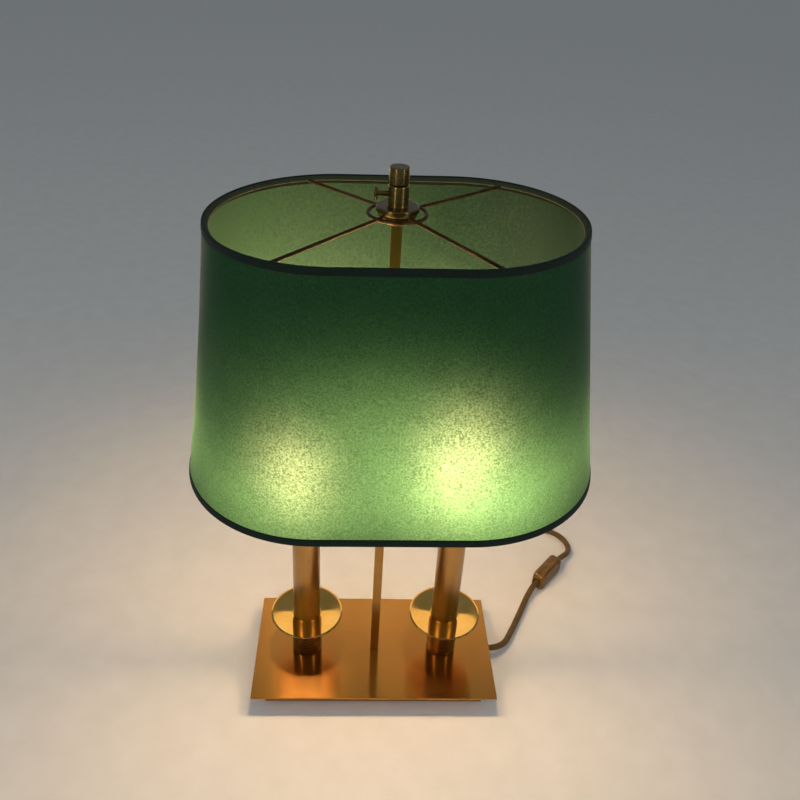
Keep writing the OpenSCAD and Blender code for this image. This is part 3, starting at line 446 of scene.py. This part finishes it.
def parchment(name, dyes, fibre, mottles, roughness, gloss, lights, gain, fade=0.0):
    # cloudy fibres a millimetre or two long, which show more where the painted glow comes through
    material, tree = newMaterial(name)
    place = addNode(tree, "ShaderNodeTexCoord")
    fibres = addNode(tree, "ShaderNodeTexNoise",
                     {"Scale": 1 / fibre, "Detail": 3.0, "Roughness": 0.6},
                     {"Vector": place.outputs["Object"]})
    cloud = addNode(tree, "ShaderNodeTexNoise",
                    {"Scale": 1 / (19 * mm), "Detail": 3.0, "Roughness": 0.5},
                    {"Vector": place.outputs["Object"]})
    slow = addNode(tree, "ShaderNodeMath", {"operation": "MULTIPLY", 1: 0.15},
                   {0: cloud.outputs[0]})
    grain = addNode(tree, "ShaderNodeMath", {"operation": "MULTIPLY_ADD", 1: 0.85},
                    {0: fibres.outputs[0], 2: slow.outputs[0]})
    paintedGlow = None
    for light, mottle in zip(lights, mottles):
        uneven = addNode(tree, "ShaderNodeMapRange",
                         {"From Min": 0.35, "From Max": 0.65,
                          "To Min": gain * (1 - mottle), "To Max": gain * (1 + mottle)},
                         {"Value": grain.outputs[0]})
        part = glowThrough(tree, place, light, uneven)
        if paintedGlow:
            part = addNode(tree, "ShaderNodeVectorMath", {"operation": "ADD"},
                           {0: paintedGlow.outputs[0], 1: part.outputs[0]})
        paintedGlow = part
    # the lining is darker towards the right end
    sides = addNode(tree, "ShaderNodeSeparateXYZ", {}, {"Vector": place.outputs["Object"]})
    rightDarkening = addNode(tree, "ShaderNodeMath", {"operation": "MULTIPLY_ADD", 1: -fade},
                     {0: sides.outputs["X"], 2: grain.outputs[0]})
    dye = addNode(tree, "ShaderNodeValToRGB", {"stops": [(0.2, dyes[0]), (0.8, dyes[1])]},
                  {"Fac": rightDarkening.outputs[0]})
    bump = addNode(tree, "ShaderNodeBump", {"Strength": 0.35, "Distance": 0.05 * mm},
                   {"Height": fibres.outputs[0]})
    sheet = addNode(tree, "ShaderNodeBsdfPrincipled",
                    {"Roughness": roughness, "Specular IOR Level": gloss, "Sheen Weight": 0.06,
                     "Sheen Roughness": 0.4, "Emission Strength": 1.0},
                    {"Base Color": dye.outputs[0], "Emission Color": paintedGlow.outputs[0],
                     "Normal": bump.outputs[0]})
    finishMaterial(tree, sheet)
    return material


# dyed parchment: matt deep green, and a painted, speckled glow where a bulb stands close behind it
greenParchment = parchment("parchmentGreenDyed", ("#0a2a14", "#1f5228"), 1.5 * mm, (0.72, 0.3),
                           0.55, 0.12, (paintedBulbGlow, paintedSoftGlow), 1.0)
# lining paper: pale green in the bulbs' light, partly a glow painted near the bulbs, cloudier and
# duller than the face
paleLining = parchment("liningPaperPaleGreen", ("#0c2416", "#28442c"), 2.4 * mm, (0.1,),
                       0.7, 0.1, (paintedBulbGlow,), 0.5, fade=2.6)

rise = shade["top"] - shade["bottom"]
heights = [shade["bottom"] + rise * i / shade["rows"] for i in range(shade["rows"] + 1)]
skin = [ovalRing(z, 0) for z in heights] + [ovalRing(z, -shade["wall"]) for z in reversed(heights)]
verts, faces = bandMesh(skin, closedAlong=True)
perRow = len(skin[0])
firstInside, lastInside = perRow * (shade["rows"] + 1), perRow * (2 * shade["rows"] + 1)
inside = [1 if firstInside <= i < lastInside else 0 for i in range(len(faces))]
shadeSkin = meshPiece("shadeParchment", verts, faces, [greenParchment, paleLining],
                      "shade_carrier", faceMaterial=inside)
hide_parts("shade")

# the paper's two ends lap at the middle of the back, glued
lap = {"from": -4.5, "to": 4.5, "slope": 0.4, "thick": 0.35, "edgeShare": 0.3, "sunk": 0.3,
       "short": 4.0, "rows": 12}


def lapRing(z):
    # across the lap at the straight back wall, closed round its thickness
    t = (z - shade["bottom"]) / (shade["top"] - shade["bottom"])
    back = shade["bottomRadius"] + (shade["topRadius"] - shade["bottomRadius"]) * t
    edge = lap["thick"] * lap["edgeShare"]
    spots = [(lap["from"], -lap["sunk"]), (lap["from"], edge),
             (lap["from"] + lap["slope"], lap["thick"]), (lap["to"] - lap["slope"], lap["thick"]),
             (lap["to"], edge), (lap["to"], -lap["sunk"])]
    return [askew @ Vector((x, back + lift, z)) * mm for x, lift in spots]


lapLow, lapHigh = shade["bottom"] + lap["short"], shade["top"] - lap["short"]
lapRings = [lapRing(lapLow + (lapHigh - lapLow) * i / lap["rows"]) for i in range(lap["rows"] + 1)]
verts, faces = bandMesh(lapRings, caps=True)
meshPiece("shadeLap", verts, faces, [greenParchment], "shade_carrier", smooth=False)
print("shade made")

binding = {"top": 5.2, "bottom": 6.2, "thick": 0.5, "insideShort": 0.6, "glue": 0.02}


def cottonTape(name, colours, sheen, gloss=0.2):
    # tightly woven bias tape: matt, with a fine slanting rib, drawn twice as coarse as it is
    material, tree = newMaterial(name)
    place = addNode(tree, "ShaderNodeTexCoord")
    slant = addNode(tree, "ShaderNodeMapping",
                    {"Rotation": (0.0, math.radians(40), math.radians(45))},
                    {"Vector": place.outputs["Object"]})
    rib = addNode(tree, "ShaderNodeTexWave",
                  {"Scale": 1 / (2.2 * mm), "Distortion": 1.2, "Detail": 2.0, "Detail Scale": 1.5},
                  {"Vector": slant.outputs[0]})
    lint = addNode(tree, "ShaderNodeTexNoise", {"Scale": 1 / (5 * mm), "Detail": 4.0},
                   {"Vector": place.outputs["Object"]})
    slow = addNode(tree, "ShaderNodeMath", {"operation": "MULTIPLY", 1: 0.5},
                   {0: lint.outputs[0]})
    tone = addNode(tree, "ShaderNodeMath", {"operation": "MULTIPLY_ADD", 1: 0.5},
                   {0: rib.outputs["Fac"], 2: slow.outputs[0]})
    colour = addNode(tree, "ShaderNodeValToRGB",
                     {"stops": [(0.2, colours[0]), (0.55, colours[1]), (0.85, colours[2])]},
                     {"Fac": tone.outputs[0]})
    bump = addNode(tree, "ShaderNodeBump", {"Strength": 0.5, "Distance": 0.08 * mm},
                   {"Height": rib.outputs["Fac"]})
    cloth = addNode(tree, "ShaderNodeBsdfPrincipled",
                    {"Roughness": 0.85, "Specular IOR Level": gloss, "Sheen Weight": sheen,
                     "Sheen Roughness": 0.5},
                    {"Base Color": colour.outputs[0], "Normal": bump.outputs[0]})
    finishMaterial(tree, cloth)
    return material


# dyed cotton: black-green outside; inside, olive above the wire, painted lighter as painted light
darkTape = cottonTape("cottonTapeBlackGreen", ("#08170f", "#0c1f17", "#13291f"), 0.06)
wireTape = cottonTape("cottonTapeOlive", ("#343a24", "#3c422a", "#454b33"), 0.05)
# the same tape painted near black on the side that faces the bulbs, as painted shade
wireTapePaintedShade = cottonTape("cottonTapeOlivePaintedShade", ("#090d09", "#0c110a", "#10150d"), 0.0, 0.05)


def tape(name, edge, tail, sign, node):
    # folded over the shade's edge, a little fuller at the fold than along its borders;
    # the outline is given as distance out of the paper's face, and height
    t, wall, glue = binding["thick"], shade["wall"], binding["glue"]
    short = tail + sign * binding["insideShort"]
    fold = edge + sign * t
    outline = [(glue, tail), (0.32 * t, tail - sign * 0.05), (0.8 * t, tail + sign * 0.35),
               (t, tail + sign * 0.9), (1.05 * t, (tail + edge) / 2), (t, edge - sign * 0.5),
               (0.8 * t, edge + sign * 0.25 * t), (0.3 * t, edge + sign * 0.72 * t),
               (-0.2 * t, fold), (-wall + 0.2 * t, fold),
               (-wall - 0.3 * t, edge + sign * 0.72 * t), (-wall - 0.8 * t, edge + sign * 0.25 * t),
               (-wall - t, edge - sign * 0.5), (-wall - 1.02 * t, (short + edge) / 2),
               (-wall - t, short + sign * 0.9), (-wall - 0.8 * t, short + sign * 0.35),
               (-wall - 0.32 * t, short - sign * 0.05), (-wall - glue, short),
               (-wall - glue, edge + sign * glue), (glue, edge + sign * glue)]
    rings = [ovalRing(z, out) for out, z in outline]
    verts, faces = bandMesh(rings, closedAlong=True)
    piece = meshPiece(name, verts, faces, [darkTape], "shade_carrier")
    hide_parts(node)


tape("topTape", shade["top"], shade["top"] - binding["top"], 1, "top_binding")
tape("bottomTape", shade["bottom"], shade["bottom"] + binding["bottom"], -1, "bottom_binding")

# a second tape inside holds each edge wire against the paper; it bends round the wire from
# bendFrom degrees on, and its rows from darkFrom up to darkTo face the bulbs
holding = {"wireIn": 3.0, "wireDepth": 3.7, "wireRadius": 1.52, "thick": 0.25, "up": 3.3,
           "down": 3.4, "air": 0.03, "upperEdge": 0.3, "lowerEdge": 0.5, "underBinding": 0.05,
           "bendFrom": 75, "bendStep": 21, "bendPoints": 11, "darkFrom": 6, "darkTo": 14}


def holdingTape(name, wireZ, sign):
    middle, wire = -holding["wireIn"], holding["wireRadius"]
    over, under = wire + holding["thick"], wire + holding["air"]
    bend = [math.radians(holding["bendFrom"] + holding["bendStep"] * i)
            for i in range(holding["bendPoints"])]
    edgeOut = -shade["wall"] - binding["thick"] - holding["underBinding"]
    paper = -shade["wall"] - binding["glue"]
    outline = [(edgeOut, wireZ + sign * holding["up"])]
    outline += [(middle + over * math.cos(a), wireZ + sign * over * math.sin(a)) for a in bend]
    outline += [(paper, wireZ - sign * holding["down"]),
                (paper, wireZ - sign * (holding["down"] - holding["lowerEdge"]))]
    outline += [(middle + under * math.cos(a), wireZ + sign * under * math.sin(a))
                for a in reversed(bend)]
    outline += [(edgeOut, wireZ + sign * (holding["up"] - holding["upperEdge"]))]
    verts, faces = bandMesh([ovalRing(z, out) for out, z in outline], closedAlong=True)
    perRing = len(faces) // len(outline)
    # the rows that face the bulbs get the near-black copy, which is painted shade
    lower = [1 if holding["darkFrom"] <= i // perRing < holding["darkTo"] else 0
             for i in range(len(faces))]
    meshPiece(name, verts, faces, [wireTape, wireTapePaintedShade], "shade_carrier",
              faceMaterial=lower)


holdingTape("topWireTape", shade["top"] - holding["wireDepth"], 1)
holdingTape("bottomWireTape", shade["bottom"] + holding["wireDepth"], -1)
print("bindings folded")

# the spider's wires, a little stouter for their coat of bronze
spiderForm = {"coat": 0.28, "join": 0.005}

spiderData = nodes["spider"].data.copy()
spiderData.materials.clear()
spiderData.materials.append(bronzedWire)
spiderWires = bpy.data.objects.new("spiderWires", spiderData)
bpy.context.scene.collection.objects.link(spiderWires)
weld = spiderWires.modifiers.new("weld", "WELD")
weld.merge_threshold = spiderForm["join"] * mm
coat = spiderWires.modifiers.new("coat", "DISPLACE")
coat.mid_level = 0
coat.strength = spiderForm["coat"] * mm
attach(spiderWires, "shade_carrier")
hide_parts("spider")
print("spider coated")

# shallow cups of spun sheet, in millimetres; flatTo, shoulder and side round the rim's two edges
dishForm = {"across": 69, "seat": 70.0, "thick": 1.2, "bore": 5.1, "seatRadius": 14.75,
            "rimRadius": 35.25, "rise": 1.4, "bow": 0.35, "flatTo": 0.35,
            "shoulder": (0.12, 0.06), "side": 0.28, "around": 128, "steps": 22}


def dishLift(radius):
    run = dishForm["rimRadius"] - dishForm["seatRadius"]
    t = max(0, (radius - dishForm["seatRadius"]) / run)
    return dishForm["rise"] * t * (1 + dishForm["bow"] * (1 - t))


def dishPiece(name, side, node):
    rim, thick, seat = dishForm["rimRadius"], dishForm["thick"], dishForm["seat"]
    bore, steps, around = dishForm["bore"], dishForm["steps"], dishForm["around"]
    radii = [bore + (rim - dishForm["flatTo"] - bore) * i / steps for i in range(steps + 1)]
    profile = [(r, seat + thick + dishLift(r)) for r in radii]
    edge = seat + dishLift(rim)
    inwards, down = dishForm["shoulder"]
    profile += [(rim - inwards, edge + thick - down), (rim, edge + thick - dishForm["side"]),
                (rim, edge + dishForm["side"]), (rim - inwards, edge + down)]
    profile += [(r, seat + dishLift(r)) for r in reversed(radii)]
    turns = [2 * math.pi * i / around for i in range(around)]
    middle = side * dishForm["across"]
    rings = [[Vector((middle + r * math.cos(a), r * math.sin(a), z)) * mm for a in turns]
             for r, z in profile]
    verts, faces = bandMesh(rings, closedAlong=True)
    # the cut rim, five rows of faces, isn't polished
    polished = len(radii) - 1
    cut = [1 if polished <= i // around < polished + 5 else 0 for i in range(len(faces))]
    piece = meshPiece(name, verts, faces, [mirrorBrass, footBrass], "base",
                      faceMaterial=cut)
    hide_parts(node)


dishPiece("dripDishLeft", -1, "dish_left")
dishPiece("dripDishRight", 1, "dish_right")
print("dishes turned")


feltForm = {"round": 0.5, "roundSteps": 3}


def feltMaterial():
    # pressed wool felt: matt, cloudy and a little hairy
    material, tree = newMaterial("woolFeltGreen")
    place = addNode(tree, "ShaderNodeTexCoord")
    wool = addNode(tree, "ShaderNodeTexNoise",
                   {"Scale": 1 / (1.6 * mm), "Detail": 6.0, "Roughness": 0.7, "Distortion": 0.6},
                   {"Vector": place.outputs["Object"]})
    colour = addNode(tree, "ShaderNodeValToRGB",
                     {"stops": [(0.3, "#1c2a1e"), (0.5, "#2b3d2d"), (0.7, "#3a4e3b")]},
                     {"Fac": wool.outputs[0]})
    bump = addNode(tree, "ShaderNodeBump", {"Strength": 0.8, "Distance": 0.25 * mm},
                   {"Height": wool.outputs[0]})
    cloth = addNode(tree, "ShaderNodeBsdfPrincipled",
                    {"Roughness": 0.95, "Sheen Weight": 0.4, "Sheen Roughness": 0.6},
                    {"Base Color": colour.outputs[0], "Normal": bump.outputs[0]})
    finishMaterial(tree, cloth)
    return material


def roundedBox(sizeX, sizeY, low, high):
    bm = bmesh.new()
    bmesh.ops.create_cube(bm, size=1.0)
    for v in bm.verts:
        v.co = Vector((v.co.x * 2 * sizeX, v.co.y * 2 * sizeY, low if v.co.z < 0 else high)) * mm
    bmesh.ops.bevel(bm, geom=bm.edges[:], offset=feltForm["round"] * mm,
                    segments=feltForm["roundSteps"], profile=0.5, affect="EDGES")
    verts = [v.co.copy() for v in bm.verts]
    faces = [tuple(v.index for v in f.verts) for f in bm.faces]
    bm.free()
    return verts, faces


feltLow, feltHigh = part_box("felt_pad")
verts, faces = roundedBox(feltHigh[0] / mm, feltHigh[1] / mm, feltLow[2] / mm, feltHigh[2] / mm)
felt = meshPiece("feltPad", verts, faces, [feltMaterial()], "base")
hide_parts("felt_pad")
print("felt cut")


# in metres, as the material's coordinates are
bulbForm = {"across": 0.069, "glassLow": 0.276, "glassHigh": 0.35, "lightAt": 0.316}


def bulbMaterial():
    # opal candle bulb, lit: warm white in the middle of the glass, yellower towards neck and tip
    material, tree = newMaterial("opalGlassLit")
    place = addNode(tree, "ShaderNodeTexCoord")
    parts = addNode(tree, "ShaderNodeSeparateXYZ", {}, {"Vector": place.outputs["Object"]})
    along = addNode(tree, "ShaderNodeMapRange",
                    {"From Min": bulbForm["glassLow"], "From Max": bulbForm["glassHigh"],
                     "To Min": 0.0, "To Max": 1.0}, {"Value": parts.outputs["Z"]})
    warm = addNode(tree, "ShaderNodeValToRGB",
                   {"stops": [(0.0, "#f0b070"), (0.25, "#ffe2b0"), (0.5, "#fff2d2"),
                              (0.75, "#ffe6ba"), (1.0, "#f6c88a")]}, {"Fac": along.outputs[0]})
    lit = addNode(tree, "ShaderNodeEmission", {"Strength": 1.0}, {"Color": warm.outputs[0]})
    finishMaterial(tree, lit)
    return material


opalGlass = bulbMaterial()

# each slot's material and the width in millimetres that its edges are rounded by
finishes = {
    "satin_brass": (plateBrass, 0.35), "mirror_brass": (mirrorBrass, 0.2),
    "aged_brass": (agedBrass, 0.3), "bronzed_wire": (bronzedWire, 0),
    "plain_steel": (zincSteel, 0.2), "cast_weight": (rawSteel, 0.4),
    "cream_plastic": (creamPlastic, 0.4), "black_plastic": (blackPlastic, 0.4),
    "opal_glass": (opalGlass, 0), "brown_cord": (cordPvc, 0), "brown_case": (goldPlastic, 0.6)}
# nodes that differ from their slot in material or in rounding
ownMaterial = {"candle_tube_left": tubeBrass, "candle_tube_right": tubeBrass,
               "foot_left": footBrass, "foot_right": footBrass, "stem_bar": barBrass,
               "switch_screws": bronzedWire}
ownRounding = {"knob": 1.6, "collar": 0.5, "switch_front": 0.5, "switch_back": 0.5}
edges = {"join": 0.005, "angle": 35, "steps": 2, "ownSteps": 4}

slots = {part["node"]: part["material_slot"] for part in frame["record"]["subparts"]}
for name, node in nodes.items():
    if node.hide_render or slots[name] not in finishes:
        continue
    material, rounding = finishes[slots[name]]
    material = ownMaterial.get(name, material)
    rounding = ownRounding.get(name, rounding)
    for slot in node.material_slots:
        slot.material = material
    if rounding:
        weld = node.modifiers.new("weld", "WELD")
        weld.merge_threshold = edges["join"] * mm
        bevel = node.modifiers.new("edges", "BEVEL")
        bevel.width = rounding * mm
        bevel.segments = edges["ownSteps"] if name in ownRounding else edges["steps"]
        bevel.limit_method = "ANGLE"
        bevel.angle_limit = math.radians(edges["angle"])
        bevel.harden_normals = True
        # the switch's two halves meet in short edges, which would hold the whole bevel back
        bevel.use_clamp_overlap = not name.startswith("switch_")
print("finishes given")

# lights in metres and watts: where each stands, what it looks at, its width and height;
# the bulbs' own lights have their radius in millimetres
studio = {
    "world": "#a9b3bd", "worldStrength": 0.42, "floor": 16,
    "softKey": {"place": (-1.0, -1.5, 1.35), "aim": (0, 0, 0.2), "size": (2.4, 2.4),
                "power": 12.5, "colour": "#f3f4f6"},
    "softFill": {"place": (1.2, -1.1, 1.3), "aim": (0, 0, 0.2), "size": (2.0, 2.0),
                 "power": 5.5, "colour": "#eef1f6"},
    "warmCard": {"place": (0, 0.46, 0.31), "aim": (0, 0, 0.2), "size": (1.2, 0.42),
                 "power": 1.7, "colour": "#f6dfc0"},
    "stripLeft": {"place": (-1.13, -1.4, 0.85), "aim": (0, 0, 0.5), "size": (0.14, 0.7),
                  "power": 5.5, "colour": "#fff4e4"},
    "stripRight": {"place": (1.34, -1.2, 0.85), "aim": (0, 0, 0.5), "size": (0.14, 0.7),
                   "power": 3.85, "colour": "#fff4e4"},
    "bulbPower": 2.9, "bulbGleams": (4.8, 1.4), "bulbSize": 24, "bulbTone": "#ffd7a8"}

# matt pale paper, so faintly cloudy that it reads as plain
floorMaterial, tree = newMaterial("paperFloorPale")
place = addNode(tree, "ShaderNodeTexCoord")
tooth = addNode(tree, "ShaderNodeTexNoise", {"Scale": 1 / (30 * mm), "Detail": 3.0},
                {"Vector": place.outputs["Object"]})
tint = addNode(tree, "ShaderNodeValToRGB", {"stops": [(0.3, "#efeae1"), (0.7, "#f4efe7")]},
               {"Fac": tooth.outputs[0]})
finishMaterial(tree, addNode(tree, "ShaderNodeBsdfPrincipled",
                             {"Roughness": 0.7, "Specular IOR Level": 0.2},
                             {"Base Color": tint.outputs[0]}))
bpy.ops.mesh.primitive_plane_add(size=studio["floor"], location=(0, 0, 0))
floor = bpy.context.object
floor.name = "floor"
floor.data.materials.append(floorMaterial)

world = bpy.data.worlds.new("studio")
bpy.context.scene.world = world
world.use_nodes = True
world.node_tree.nodes.clear()
sky = addNode(world.node_tree, "ShaderNodeBackground",
              {"Color": srgb(studio["world"]), "Strength": studio["worldStrength"]})
addNode(world.node_tree, "ShaderNodeOutputWorld", {}, {"Surface": sky.outputs[0]})


def areaLight(name):
    plan = studio[name]
    data = bpy.data.lights.new(name, "AREA")
    data.shape = "RECTANGLE"
    data.size, data.size_y = plan["size"]
    data.energy = plan["power"]
    data.color = srgb(plan["colour"])[:3]
    light = bpy.data.objects.new(name, data)
    light.location = plan["place"]
    look = Vector(plan["aim"]) - Vector(plan["place"])
    light.rotation_euler = look.to_track_quat("-Z", "Y").to_euler()
    light.visible_camera = False
    bpy.context.scene.collection.objects.link(light)
    return light


# two broad lights for all that is matt, which metal doesn't show
for name in ("softKey", "softFill"):
    areaLight(name).visible_glossy = False
# a warm card behind the lamp and two narrow strips, which only metal shows
for name in ("warmCard", "stripLeft", "stripRight"):
    areaLight(name).visible_diffuse = False
# each bulb has one light for all that is matt and one of its own strength for metal
for side, gleam in zip((-1, 1), studio["bulbGleams"]):
    for name, power in (("bulbLight", studio["bulbPower"]), ("bulbGleam", gleam)):
        data = bpy.data.lights.new(name, "POINT")
        data.energy = power
        data.shadow_soft_size = studio["bulbSize"] * mm
        data.use_soft_falloff = False
        data.color = srgb(studio["bulbTone"])[:3]
        glow = bpy.data.objects.new(name, data)
        glow.location = (side * bulbForm["across"], 0, bulbForm["lightAt"])
        glow.visible_camera = False
        glow.visible_glossy = name == "bulbGleam"
        glow.visible_diffuse = glow.visible_transmission = name == "bulbLight"
        bpy.context.scene.collection.objects.link(glow)
bpy.context.scene.view_settings.view_transform = "Standard"
print("studio lit")
